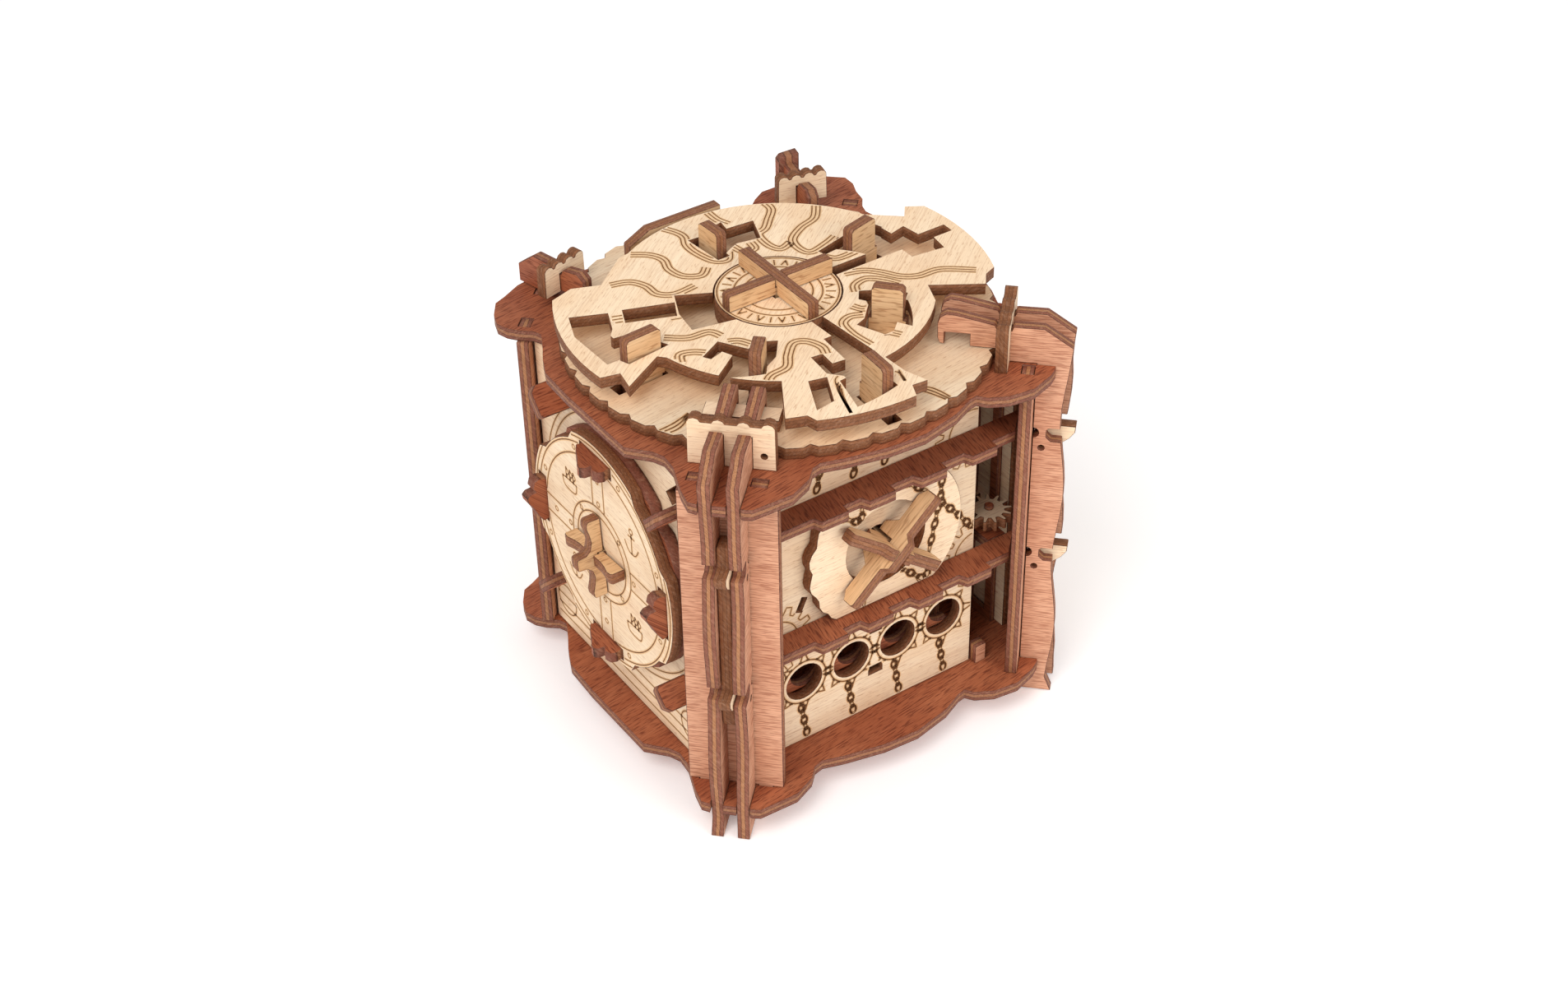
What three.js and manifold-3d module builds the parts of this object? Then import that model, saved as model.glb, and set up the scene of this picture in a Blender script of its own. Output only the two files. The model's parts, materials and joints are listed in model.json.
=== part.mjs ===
// Wooden puzzle box: a chamfered square case of laser-cut ply plates with a
// maze disc, a compass wheel, a crossed front knob and a rear drawer.
// Millimetres, +Z up. The box is built about its own centre line with z = 0 on
// the floor plate's top, and the whole model is then stood on z = 0.
import * as THREE from 'three';
import { mergeVertices } from 'three/addons/utils/BufferGeometryUtils.js';
import Module from 'manifold-3d';

const wasm = await Module();
wasm.setup();

// ---- driving dimensions ----
const PLY = 4;                 // thickness of every plate
const PLAY = 0.2;              // gap left between plates that touch
const CASE_HEIGHT = 118.4;     // floor plate top to top plate underside
const PLATE_REACH = 75;        // side of the end plates from the centre line
const WAIST_REACH = 67;        // the same at the waists of the wavy sides
const BOARD_REACH = 83.8;      // outer face of a corner board, along its diagonal
const BOARD_WIDTH = 31.3;
const FIN_REACH = 94;          // mean outer edge of a fin, along its diagonal
const FIN_OFFSET = 4.35;       // middle of a fin from the diagonal
const FOOT_DROP = 14;          // fins and skid reach this far below the floor plate's top
const FRONT_FACE = 55.2;       // outer face of the front panel from the centre
const SIDE_FACE = 63.9;        // outer face of the other three panels
const BAY_EDGE = 39.5;         // right-hand end of the front panel
const UPPER_SHELF = 95.7;      // underside of the upper shelf
const LOWER_SHELF = 45.9;      // underside of the lower shelf
const SHELF_REACH = 67.2;      // front of the shelf teeth
const PORTHOLE_RADIUS = 7;
const PORTHOLE_PITCH = 18.9;
const PORTHOLE_HEIGHT = 25.5;
const KNOB = { across: -0.7, height: 73, half: 22.2, firstAngle: -38, secondAngle: 42 };
const SHIELD = { height: 73, radius: 30.3, lobeDepth: 1.9, boreRadius: 15.5 };
const COMPASS = { across: 3.1, height: 65.3, half: 15, dialRadius: 42.8, rimRadius: 41.8 };
const HEART = { radius: 37.2, halfLength: 9.4, halfWidth: 2.3 };
const TOP_FACE = CASE_HEIGHT + PLY;
const RING_BASE = TOP_FACE + PLAY;
const RING_RADIUS = 71;
const MAZE_BASE = 133;
const MAZE_REACH = 72;
const MAZE_INNER = 54.5;
const MAZE_RECESS = 50.4;
const MAZE_TURN = 8;           // degrees the maze disc turns
const PEG_TRAVEL = 2.4;        // outward travel of the pegs over that turn
const DIAL_RADIUS = 20.5;
const TOOTH_MODULE = 2;
const DIAL_TEETH = 40;
const BAY_TEETH = 12;
const LOWER_TEETH = 15;
const GEAR_BASE = 104;
const LOWER_GEAR_BASE = 50;
const BAY_AXIS = { x: 40, y: -33.23 };
const DRAWER = { width: 72, depth: 62, height: 34, base: 5 };
const CIRCLE_STEPS = 40;

// ---- materials ----
const WOODS = {
  dark: { color: 0x9a4a33, roughness: 0.62 },
  pink: { color: 0xc4806a, roughness: 0.65 },
  light: { color: 0xe8c594, roughness: 0.6 },
  tan: { color: 0xc99a5f, roughness: 0.62 },
};

function wood(name) {
  const { color, roughness } = WOODS[name];
  return new THREE.MeshStandardMaterial({ color, roughness, metalness: 0 });
}

// ---- outlines and solids ----
const radians = THREE.MathUtils.degToRad;

function polar(radius, degrees) {
  const angle = radians(degrees);
  return [radius * Math.cos(angle), radius * Math.sin(angle)];
}

function outline(points) {
  return new THREE.Shape(points.map(([x, y]) => new THREE.Vector2(x, y)));
}

function arc(radius, from, to, steps, centre = [0, 0]) {
  const points = [];
  for (let i = 0; i <= steps; i++) {
    const [x, y] = polar(radius, from + ((to - from) * i) / steps);
    points.push([centre[0] + x, centre[1] + y]);
  }
  return points;
}

function circle(radius, centre = [0, 0], steps = CIRCLE_STEPS) {
  return arc(radius, 0, 360 - 360 / steps, steps - 1, centre);
}

function rectangle(x0, y0, x1, y1) {
  return [[x0, y0], [x1, y0], [x1, y1], [x0, y1]];
}

function spin(points, degrees) {
  const c = Math.cos(radians(degrees));
  const s = Math.sin(radians(degrees));
  return points.map(([x, y]) => [c * x - s * y, s * x + c * y]);
}

function extrude(points, thickness) {
  return new THREE.ExtrudeGeometry(outline(points), { depth: thickness, bevelEnabled: false });
}

// A flat plate with holes right through it.
function plate(points, holes = [], thickness = PLY) {
  const blank = extrude(points, thickness);
  if (holes.length === 0) return blank;
  return cut(blank, holes.map((hole) => extrude(hole, 3 * thickness).translate(0, 0, -thickness)));
}

function toManifold(geometry) {
  const bare = geometry.clone();
  bare.deleteAttribute('normal');
  bare.deleteAttribute('uv');
  const merged = mergeVertices(bare, 1e-4);
  const vertProperties = new Float32Array(merged.attributes.position.array);
  const triVerts = new Uint32Array(merged.index.array);
  return new wasm.Manifold(new wasm.Mesh({ numProp: 3, vertProperties, triVerts }));
}

function fromManifold(solid) {
  const mesh = solid.getMesh();
  const geometry = new THREE.BufferGeometry();
  geometry.setAttribute('position', new THREE.BufferAttribute(new Float32Array(mesh.vertProperties), 3));
  geometry.setIndex(new THREE.BufferAttribute(new Uint32Array(mesh.triVerts), 1));
  geometry.computeVertexNormals();
  return geometry;
}

function cut(body, tools) {
  return fromManifold(tools.reduce((solid, tool) => solid.subtract(toManifold(tool)), toManifold(body)));
}

function join(body, others) {
  return fromManifold(others.reduce((solid, other) => solid.add(toManifold(other)), toManifold(body)));
}

// ---- placing ----
const box = new THREE.Group();

function frameAt(heading) {
  const frame = new THREE.Group();
  frame.rotation.z = radians(heading);
  box.add(frame);
  return frame;
}

// A flat plate lying at height z.
function lay(name, geometry, material, z, heading = 0) {
  const mesh = new THREE.Mesh(geometry, wood(material));
  mesh.name = name;
  mesh.position.z = z;
  frameAt(heading).add(mesh);
  return mesh;
}

// An upright plate drawn in (x, z). Its thickness runs from y = near towards -Y,
// before its frame is turned by heading about the centre line.
function stand(name, geometry, material, near, heading = 0) {
  const mesh = new THREE.Mesh(geometry, wood(material));
  mesh.name = name;
  mesh.rotation.x = Math.PI / 2;
  mesh.position.y = near;
  frameAt(heading).add(mesh);
  return mesh;
}

const HEADING = { near: -45, right: 45, back: 135, left: -135 };
const DIAGONAL = { near: 225, right: -45, back: 45, left: 135 };

// ---- end plates ----
// Each side is drawn as [along, reach], anticlockwise from above as the box turns.
const FRONT_SIDE = [
  [-62, 72.8], [-60, 74.4], [-46, PLATE_REACH], [-38, 71.7], [-34, 67.8], [-30.5, WAIST_REACH],
  [-23, 69.4], [-9, 72.6], [4, 73.5], [18, 70.6], [26, WAIST_REACH], [29, 66.5], [31, 69.4],
  [37, 72.8], [46, 74], [55, 71.2], [58.6, 69],
];
const RIGHT_SIDE = [
  [-58.6, 69], [-55, 71.2], [-46, 74], [-37, 72.8], [-31, 69], [-29, WAIST_REACH], [-22, 70],
  [-7, 74], [22, 74], [30, 70.5], [37, WAIST_REACH], [43, 65.8], [47.5, 67.2], [50.5, 69.8],
  [56, 71], [61, 73.2], [66, 73.4],
];
const BACK_SIDE = [
  [-68, 71], [-60, PLATE_REACH], [-44, PLATE_REACH], [-39, 72], [-33.5, 67.3], [-28, WAIST_REACH],
  [-20, 70], [-10, 73], [0, 73.8], [10, 73], [20, 70], [28, WAIST_REACH], [33.5, 67.3], [39, 72],
  [45, 74.4], [56, 72], [63, 68.4],
];
const LEFT_SIDE = [
  [-66.7, 67.2], [-61, 71], [-55.6, 72.8], [-51.5, 71.6], [-48, 69], [-45, 65.4], [-42, 64.2],
  [-38, 66], [-30, 70.5], [-22, 74], [-7, 74.7], [26, 74.4], [33, 68.6], [37, WAIST_REACH],
  [43, 67.6], [54, 71.9], [60, 73.4],
];

// The slots that take a pair of fins, open at the corner, reaching r = tip.
function finSlots(tip) {
  const slot = [[tip, 2.1], [84, 2.1], [84, 6.6], [tip, 6.6]];
  const mirrored = [...slot].reverse().map(([r, t]) => [r, -t]);
  return [...mirrored, ...slot];
}

function endPlateOutline() {
  const side = (points, turn) => spin(points.map(([u, reach]) => [u, -reach]), turn);
  return [
    ...side(FRONT_SIDE, 0), ...spin(finSlots(90), DIAGONAL.right),
    ...side(RIGHT_SIDE, 90), ...side(BACK_SIDE, 180), ...side(LEFT_SIDE, 270),
    ...spin(finSlots(95), DIAGONAL.near),
  ];
}

const TENON_OFFSET = 9.8;

function tenonSlots() {
  const middle = BOARD_REACH - PLY / 2;
  const slot = (t) => rectangle(middle - 2.2, t - 2.7, middle + 2.2, t + 2.7);
  return Object.values(DIAGONAL).flatMap((angle) => (
    [slot(-TENON_OFFSET), slot(TENON_OFFSET)].map((hole) => spin(hole, angle))
  ));
}

function makeEndPlates() {
  const bayHole = circle(2.9, [BAY_AXIS.x, BAY_AXIS.y], 16);
  const spindleHole = circle(5, [0, 0], 24);
  lay('floor_plate', plate(endPlateOutline(), [...tenonSlots(), bayHole]), 'dark', -PLY);
  lay('top_plate', plate(endPlateOutline(), [...tenonSlots(), bayHole, spindleHole]), 'dark', CASE_HEIGHT);
}

// ---- corner boards, fins and skid ----
function boardOutline() {
  const half = BOARD_WIDTH / 2;
  const top = CASE_HEIGHT - PLAY;
  const tip = TOP_FACE - 0.3;
  const [a, b] = [TENON_OFFSET - 2.5, TENON_OFFSET + 2.5];
  return [
    [-half, PLAY], [-b, PLAY], [-b, -PLY + 0.3], [-a, -PLY + 0.3], [-a, PLAY],
    [a, PLAY], [a, -PLY + 0.3], [b, -PLY + 0.3], [b, PLAY], [half, PLAY],
    [half, top], [b, top], [b, tip], [a, tip], [a, top],
    [-a, top], [-a, tip], [-b, tip], [-b, top], [-half, top],
  ];
}

function makeCornerBoards() {
  for (const [corner, heading] of Object.entries(HEADING)) {
    stand(`corner_board_${corner}`, plate(boardOutline()), 'pink', -BOARD_REACH + PLY, heading);
  }
}

const SADDLE = { inner: 71.1, outer: 75.7, height: 134 };

// A notch in the outer edge bares each wing of the latch key behind it.
const LATCH_WINGS = [47.2, 96.4];

function finEdge(phase) {
  const edge = (z) => FIN_REACH + 1.2 * Math.cos(((z - phase) * 2 * Math.PI) / 57);
  const points = [];
  for (let z = -8; z <= 118; z += 6) {
    const beside = LATCH_WINGS.some((wing) => z > wing - 7 && z < wing + 3);
    if (!beside) points.push([edge(z), z]);
    const wing = LATCH_WINGS.find((height) => z < height - 5 && z + 6 >= height - 5);
    if (wing) {
      const [low, high, root] = [wing - 3.6, wing + 1.4, 88.4];
      points.push([edge(low), low], [root + 1.5, low], [root, low + 1.5], [root, high - 0.8]);
      points.push([root + 0.8, high], [edge(high), high]);
    }
  }
  return points;
}

function armOutline(rootRadius, outerPoints) {
  return [
    ...outerPoints,
    [95, 124.5], [95.4, 129.4], [86, 135.7], [SADDLE.outer + 0.6, 135.5],
    [SADDLE.outer, SADDLE.height], [SADDLE.inner, SADDLE.height], [SADDLE.inner - 0.8, 135.6],
    [58, 138], [55, 138.2], [53, 136.8], [52.2, 134.5], [52.3, 129], [53, 127.2], [54.4, 126.9],
    [54.4, 131.4], [62.6, 131.4], [62.6, 126.9], [RING_RADIUS + 1, 126.9],
    [RING_RADIUS + 1, RING_BASE], [rootRadius, RING_BASE],
  ];
}

// A half-round finger hole in the fin's inner edge, beside the corner board.
function edgeHole(root, height) {
  return arc(1.9, 90, -90, 6, [root, height]);
}

function finOutline(phase) {
  const root = BOARD_REACH + 0.3;
  const foot = [[77.5, -FOOT_DROP], [95.3, -FOOT_DROP]];
  const holes = [...LATCH_WINGS].reverse().flatMap((wing) => edgeHole(root, wing - 0.6));
  return [
    ...foot, ...armOutline(root, finEdge(phase)), ...holes,
    [root, -PLY - PLAY], [77.5, -PLY - PLAY],
  ];
}

function makeFins() {
  const pinHoles = LATCH_WINGS.map((z) => circle(1.1, [87, z - 6.4], 8));
  for (const corner of ['near', 'right']) {
    const heading = DIAGONAL[corner];
    const a = plate(finOutline(15.8), pinHoles);
    const b = plate(finOutline(-4), pinHoles);
    stand(`fin_${corner}_a`, a, 'pink', -FIN_OFFSET + PLY / 2, heading);
    stand(`fin_${corner}_b`, b, 'pink', FIN_OFFSET + PLY / 2, heading);
  }
}

function makeSkid() {
  const skid = [[-44, -FOOT_DROP], [44, -FOOT_DROP], [49, -PLY - PLAY], [-49, -PLY - PLAY]];
  stand('rear_skid', plate(skid), 'dark', -50, 180);
}

// ---- lugs at the rear corners ----
// A lug is the top arm of a fin standing on the top plate, without the upright below.
const LUGS = {
  left: { x: -49.6, y: 64, heading: 104 },
  back: { x: 49.6, y: 64, heading: 76 },
};

function lugOutline() {
  return [
    [10.5, 122.9], [10.5, 129.6], [3, 135.4], [-4.8, 135.4], [-5.6, 133.6],
    [-10.2, 133.6], [-11, 135.4], [-17.6, 136.6], [-20.4, 134.6], [-20.6, 129.5], [-19, 127.2],
    [-5, 127.2], [-5, 122.9],
  ];
}

// The back lug also carries an upright cheek across its arm.
function cheekOutline() {
  return [[-3.7, 122.9], [3.7, 122.9], [3.7, 136.4], [2.4, 137.8], [-3.7, 138.6]];
}

function lugFrame({ x, y, heading }) {
  const frame = new THREE.Group();
  frame.position.set(x, y, 0);
  frame.rotation.z = radians(heading);
  box.add(frame);
  return frame;
}

// A clip plate straddling one or two arms, with low rounded teeth along its top.
function crownOutline(half, slots, bar, base) {
  const teeth = [1, 0.34, -0.34, -1].map((k) => k * (half - 2.2));
  const crown = teeth.flatMap((t) => (
    [[t + 2, bar], [t + 1.3, bar + 1], [t, bar + 1.4], [t - 1.3, bar + 1], [t - 2, bar]]
  ));
  const legs = slots.flatMap(([from, to, height]) => (
    [[from, base], [from, height], [to, height], [to, base]]
  ));
  return [[-half, base], ...legs, [half, base], ...crown];
}

function makeLugs() {
  for (const [corner, place] of Object.entries(LUGS)) {
    const frame = lugFrame(place);
    const arm = plate(lugOutline());
    const cheek = plate(cheekOutline()).rotateY(Math.PI / 2).translate(3.4, 0, PLY / 2);
    const shape = corner === 'back' ? join(arm, [cheek]) : arm;
    const lug = stand(`lug_${corner}`, shape, 'dark', PLY / 2);
    const crown = crownOutline(9, [[-2.3, 2.3, 133.9]], 136.9, TOP_FACE + PLY + 0.7);
    const clip = stand(`lug_clip_${corner}`, plate(crown), 'light', PLY / 2);
    const turned = new THREE.Group();
    turned.rotation.z = Math.PI / 2;
    turned.position.x = -7.9;
    frame.add(lug, turned);
    turned.add(clip);
  }
}

function makeCrownClips() {
  const slots = [[-6.6, -2.1, 134.2], [2.1, 6.6, 134.2]];
  const hole = circle(1.2, [10, 127.5], 10);
  for (const corner of ['near', 'right']) {
    const crown = crownOutline(13.5, slots, 137.7, RING_BASE + 0.1);
    const near = -(SADDLE.inner + SADDLE.outer) / 2 + PLY / 2;
    stand(`crown_clip_${corner}`, plate(crown, [hole]), 'light', near, HEADING[corner]);
  }
}

function makeNoseFrame() {
  const bar = rectangle(55, -12, 62, 12);
  lay('nose_frame_near', plate(bar), 'light', 127.1, DIAGONAL.near);
}

// ---- latch keys between the fins ----
function latchOutline() {
  const wing = (z) => [[92, z - 8], [95.6, z - 5], [97.4, z - 2.4], [97.6, z], [91.5, z]];
  return [[85.2, 32], [91, 32], ...LATCH_WINGS.flatMap(wing), [91.4, 104], [85.2, 104]];
}

function makeLatches() {
  for (const corner of ['near', 'right']) {
    stand(`latch_${corner}`, plate(latchOutline()), 'light', PLY / 2, DIAGONAL[corner]);
  }
}

// ---- panels ----
function portholeCentres() {
  return [-1.5, -0.5, 0.5, 1.5].map((k) => [k * PORTHOLE_PITCH - 0.9, PORTHOLE_HEIGHT]);
}

function makeFrontPanel() {
  const holes = portholeCentres().map((centre) => circle(PORTHOLE_RADIUS, centre, 24));
  holes.push(circle(4.4, [KNOB.across, KNOB.height], 20));
  holes.push(rectangle(-3.3, 32.8, 2.3, 36.2));
  holes.push(rectangle(-3.3, 14.8, 2.3, 18.2));
  holes.push(spin(rectangle(-1.1, -2.8, 1.1, 2.8), -25).map(([x, z]) => [x - 30, z + 58.5]));
  const panel = rectangle(-56.5, PLAY, BAY_EDGE, CASE_HEIGHT - PLAY);
  stand('front_panel', plate(panel, holes), 'light', -FRONT_FACE + PLY);
}

function aroundCompass(points) {
  return points.map(([x, z]) => [x + COMPASS.across, z + COMPASS.height]);
}

function makeLeftPanel() {
  const panel = rectangle(-48, PLAY, 48, CASE_HEIGHT - PLAY);
  const rackSlot = aroundCompass(spin(rectangle(48.1, 2.9, 63.6, 7.3), 45));
  const boreHole = circle(5, [COMPASS.across, COMPASS.height], 20);
  stand('left_panel', plate(panel, [rackSlot, boreHole]), 'light', -SIDE_FACE + PLY, -90);
}

function makeRightPanel() {
  const panel = rectangle(-48, PLAY, 48, CASE_HEIGHT - PLAY);
  const windows = [-14, 14].map((x) => circle(6.5, [x, 88], 24));
  const keyhole = [...arc(5, -60, 240, 12, [0, 40]), [-3, 24], [3, 24]];
  stand('right_panel', plate(panel, [...windows, keyhole]), 'light', -SIDE_FACE + PLY, 90);
}

function makeBackPanel() {
  const panel = rectangle(-48, PLAY, 48, CASE_HEIGHT - PLAY);
  const half = DRAWER.width / 2 + 0.6;
  const mouth = rectangle(-half, DRAWER.base - 0.6, half, DRAWER.base + DRAWER.height + 0.6);
  const vents = [-20, 0, 20].map((x) => circle(5, [x, 74], 20));
  stand('back_panel', plate(panel, [mouth, ...vents]), 'light', -SIDE_FACE + PLY, 180);
}

// ---- front shelves, shield and bay ----
function shelfOutline() {
  const front = [];
  const notch = SHELF_REACH - 3;
  for (const x of [-30, -12, 8, 28]) {
    front.push([x - 1.4, -notch], [x, -SHELF_REACH], [x + 10, -SHELF_REACH], [x + 10, -notch]);
  }
  const back = FRONT_FACE + PLAY;
  return [[-56.6, -back], [-47.8, -notch], ...front, [47.4, -notch], [56.4, -back], [BAY_EDGE, -back]];
}

function makeShelves() {
  lay('upper_shelf', plate(shelfOutline()), 'dark', UPPER_SHELF);
  lay('lower_shelf', plate(shelfOutline()), 'dark', LOWER_SHELF);
}

// The shield is a disc cut level by the shelves, with small lobes down its left side.
function shieldOutline() {
  const points = [];
  const count = 72;
  const [floor, ceiling] = [LOWER_SHELF + PLY + PLAY, UPPER_SHELF - PLAY];
  const lobes = { from: 137, to: 225, pitch: 22 };
  for (let i = 0; i < count; i++) {
    const angle = (360 * i) / count;
    const lobed = angle > lobes.from && angle < lobes.to;
    const dip = lobed ? 1 - Math.abs(Math.sin(radians((180 * (angle - lobes.from)) / lobes.pitch))) : 0;
    const [x, z] = polar(SHIELD.radius - SHIELD.lobeDepth * dip, angle);
    points.push([x, Math.min(ceiling, Math.max(floor, SHIELD.height + z))]);
  }
  return points;
}

function makeShield() {
  const bore = circle(SHIELD.boreRadius, [0, SHIELD.height], 30);
  stand('front_shield', plate(shieldOutline(), [bore]), 'light', -FRONT_FACE - PLAY);
}

// Thin upright slats in front of the right panel, seen from inside the gear bay.
function makeBaySlats() {
  const [first, pitch, width, count] = [-43.8, 12, 3.7, 3];
  const band = 4;
  const thickness = 2;
  const top = GEAR_BASE + 8;
  const gaps = [];
  for (let i = 0; i < count - 1; i++) {
    const edge = first + i * pitch;
    gaps.push(rectangle(edge + width, band, edge + pitch, top - band));
  }
  const slats = rectangle(first, PLAY, first + (count - 1) * pitch + width, top);
  const near = SIDE_FACE - PLY - PLAY - thickness;
  stand('bay_slats', plate(slats, gaps, thickness), 'dark', -near, 90);
}

function makeShutter() {
  const shift = 3.4;
  const holes = portholeCentres().map(([x, z]) => circle(6, [x + shift, z], 20));
  const shutter = rectangle(-42, PORTHOLE_HEIGHT - 6.9, 33, PORTHOLE_HEIGHT + 6.9);
  stand('shutter', plate(shutter, holes), 'dark', -FRONT_FACE + 2 * PLY + PLAY + 0.2);
}

// ---- crossed handles ----
// Two plates standing out from a face, each notched halfway to pass the other.
// Outlines run along the bar and outward from the face. Only the plate that
// carries the tang is notched from outside.
function tangPoints(inner, tang) {
  return tang > 0 ? [[-2.4, inner], [-2.4, inner - tang], [2.4, inner - tang], [2.4, inner]] : [];
}

function lapPoints(from, to, half) {
  return [[-half, from], [-half, to], [half, to], [half, from]];
}

function knobOutline(hasTang) {
  const { half } = KNOB;
  const lap = 2.6;
  const [inner, shoulder, outer, crest] = [0.5, 4.8, 11.2, 13.8];
  const middle = (inner + crest) / 2;
  const [hub, boss] = [9, 6];
  const below = hasTang ? tangPoints(inner, 11) : lapPoints(inner, middle + 0.1, lap);
  const above = hasTang ? lapPoints(crest, middle - 0.1, lap).reverse() : [];
  return [
    [-boss, inner], ...below, [boss, inner], [hub, shoulder], [half - 3, shoulder], [half, shoulder + 2],
    [half, outer - 0.6], [half - 0.8, outer], [boss + 1, outer], [boss - 0.8, crest], ...above,
    [0.8 - boss, crest], [-boss - 1, outer], [0.8 - half, outer], [-half, outer - 0.6],
    [-half, shoulder + 2], [3 - half, shoulder], [-hub, shoulder],
  ];
}

function compassBarOutline(hasTang) {
  const { half } = COMPASS;
  const lap = PLY / 2 + PLAY;
  const [inner, waist, crest] = [0.2, 4.2, 10];
  const middle = (inner + waist) / 2;
  const wing = [[half, inner], [half, 4.6], [half - 0.7, 5.2], [half - 2.5, 5.4], [9.5, 4.6], [6.8, waist]];
  const hub = hasTang ? [[4, waist]] : [[4, 4.9], [2.6, 6.5], [2.3, crest - 0.4], [1.8, crest]];
  const below = hasTang ? tangPoints(inner, 16) : lapPoints(inner, middle + 0.1, lap);
  const above = hasTang ? lapPoints(waist, middle - 0.1, lap).reverse() : [];
  const right = [...wing, ...hub];
  const left = right.map(([x, out]) => [-x, out]).reverse();
  return [...below, ...right, ...above, ...left];
}

// A handle plate is laid in (along, outward) and turned about the face's normal.
function addHandle(name, face, centre, angle, shape) {
  const mesh = new THREE.Mesh(plate(shape), wood('tan'));
  mesh.name = name;
  mesh.position.z = -PLY / 2;
  const blade = new THREE.Group();
  blade.rotation.x = Math.PI / 2;
  blade.add(mesh);
  const turn = new THREE.Group();
  turn.rotation.z = radians(angle);
  turn.position.set(centre.across, centre.height, centre.out);
  turn.add(blade);
  const upright = new THREE.Group();
  upright.rotation.x = Math.PI / 2;
  upright.add(turn);
  frameAt(face).add(upright);
}

function makeKnob() {
  const centre = { ...KNOB, out: FRONT_FACE };
  addHandle('knob_bar_a', 0, centre, KNOB.firstAngle, knobOutline(true));
  addHandle('knob_bar_b', 0, centre, KNOB.secondAngle, knobOutline(false));
}

// ---- compass wheel ----
function rimOutline() {
  const points = [];
  for (let i = 0; i < 48; i++) {
    const notch = i % 12 === 6 ? 3 : 0;
    points.push(polar(COMPASS.rimRadius - notch, (360 * i) / 48));
  }
  return aroundCompass(points);
}

// The dial steps in where a catch stands against the rim.
function dialOutline() {
  const points = [];
  const count = 72;
  for (let i = 0; i < count; i++) {
    const angle = (360 * i) / count;
    const fromCatch = Math.abs((((angle - 42) % 90) + 90 + 45) % 90 - 45);
    points.push(polar(COMPASS.dialRadius - (fromCatch < 17.5 ? 2.6 : 0), angle));
  }
  return aroundCompass(points);
}

// A heart tab: a plate standing out from the wheel, its outer edge the outline of
// a heart lying on its side. Tabs above and below the hub point the same way.
function heartTab(angle) {
  const face = 2 * PLY + PLAY;
  const root = PLY - 0.7;
  const profile = [
    [-8.2, 0], [-8.7, 1.7], [-5.7, 3.6], [-1.3, 5.6], [0.8, 7], [2.8, 7.4], [4, 6.2],
    [4.2, 3.9], [6, 4.9], [8.4, 4.2], [9.2, 2.2], [8.4, 0],
  ];
  const raised = profile.map(([x, out]) => [x, out + face - root]);
  const tab = plate([[-8.2, 0.5], ...raised, [8.4, 0.5]]);
  tab.translate(0, 0, -PLY / 2);
  const matrix = new THREE.Matrix4();
  const sense = angle === 90 || angle === 180 ? -1 : 1;
  const [c, s] = polar(sense, angle);
  const across = new THREE.Vector3(-s, c, 0);
  const outward = new THREE.Vector3(0, 0, 1);
  matrix.makeBasis(across, outward, new THREE.Vector3().crossVectors(across, outward));
  const [x, z] = polar(HEART.radius, angle);
  matrix.setPosition(COMPASS.across + x, COMPASS.height + z, root);
  return tab.applyMatrix4(matrix);
}

function heartSlot(angle) {
  const { radius, halfLength, halfWidth } = HEART;
  const slot = rectangle(radius - halfWidth, -halfLength, radius + halfWidth, halfLength);
  return aroundCompass(spin(slot, angle));
}

function makeCompass() {
  const centre = [COMPASS.across, COMPASS.height];
  const quarters = [0, 90, 180, 270];
  const rim = join(plate(rimOutline(), [circle(3.6, centre, 20)]), quarters.map(heartTab));
  stand('compass_rim', rim, 'dark', -SIDE_FACE - PLAY, -90);
  const slots = [...quarters.map(heartSlot), circle(3.6, centre, 20)];
  stand('compass_dial', plate(dialOutline(), slots), 'light', -SIDE_FACE - PLY - 2 * PLAY, -90);
  const hub = { ...COMPASS, out: SIDE_FACE + 2 * PLY + 3 * PLAY };
  addHandle('compass_bar_a', -90, hub, 4, compassBarOutline(true));
  addHandle('compass_bar_b', -90, hub, 94, compassBarOutline(false));
}

// Radial vanes standing out of the left panel around the wheel's rim.
function vane(name, angle, from, to, out) {
  const shape = [[from, PLAY], [to, PLAY], [to, out - 2], [to - 2, out], [from + 1, out], [from, out - 1]];
  const mesh = new THREE.Mesh(plate(shape), wood('dark'));
  mesh.name = name;
  mesh.position.z = -PLY / 2;
  const blade = new THREE.Group();
  blade.rotation.x = Math.PI / 2;
  blade.add(mesh);
  const turn = new THREE.Group();
  turn.rotation.z = radians(angle);
  turn.position.set(COMPASS.across, COMPASS.height, SIDE_FACE);
  turn.add(blade);
  const upright = new THREE.Group();
  upright.rotation.x = Math.PI / 2;
  upright.add(turn);
  frameAt(-90).add(upright);
}

function makeVanes() {
  vane('rim_catch_upper', 130, 47.2, 58.2, 11);
  vane('rim_catch_lower', -45, 46.5, 56, 11);
  vane('rim_catch_rear', 225, 49.5, 60.5, 11);
  vane('rack_slider', 45, 46.4, 57.6, 11);
}

// ---- top stack ----
const PEGS = [
  { angle: 184, radius: 54, length: 13 },
  { angle: 93, radius: 35.5, length: 10.5 },
  { angle: 14, radius: 40, length: 12 },
  { angle: -48, radius: 36, length: 10.5 },
  { angle: -93, radius: 58, length: 12 },
  { angle: -133, radius: 41, length: 10.5 },
];

function ringOutline() {
  const points = [];
  const count = 44;
  for (let i = 0; i < count; i++) {
    const step = 360 / count;
    points.push(polar(RING_RADIUS, i * step));
    points.push(polar(RING_RADIUS, (i + 0.55) * step));
    points.push(polar(RING_RADIUS - 1.6, (i + 0.78) * step));
  }
  return points;
}

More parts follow.
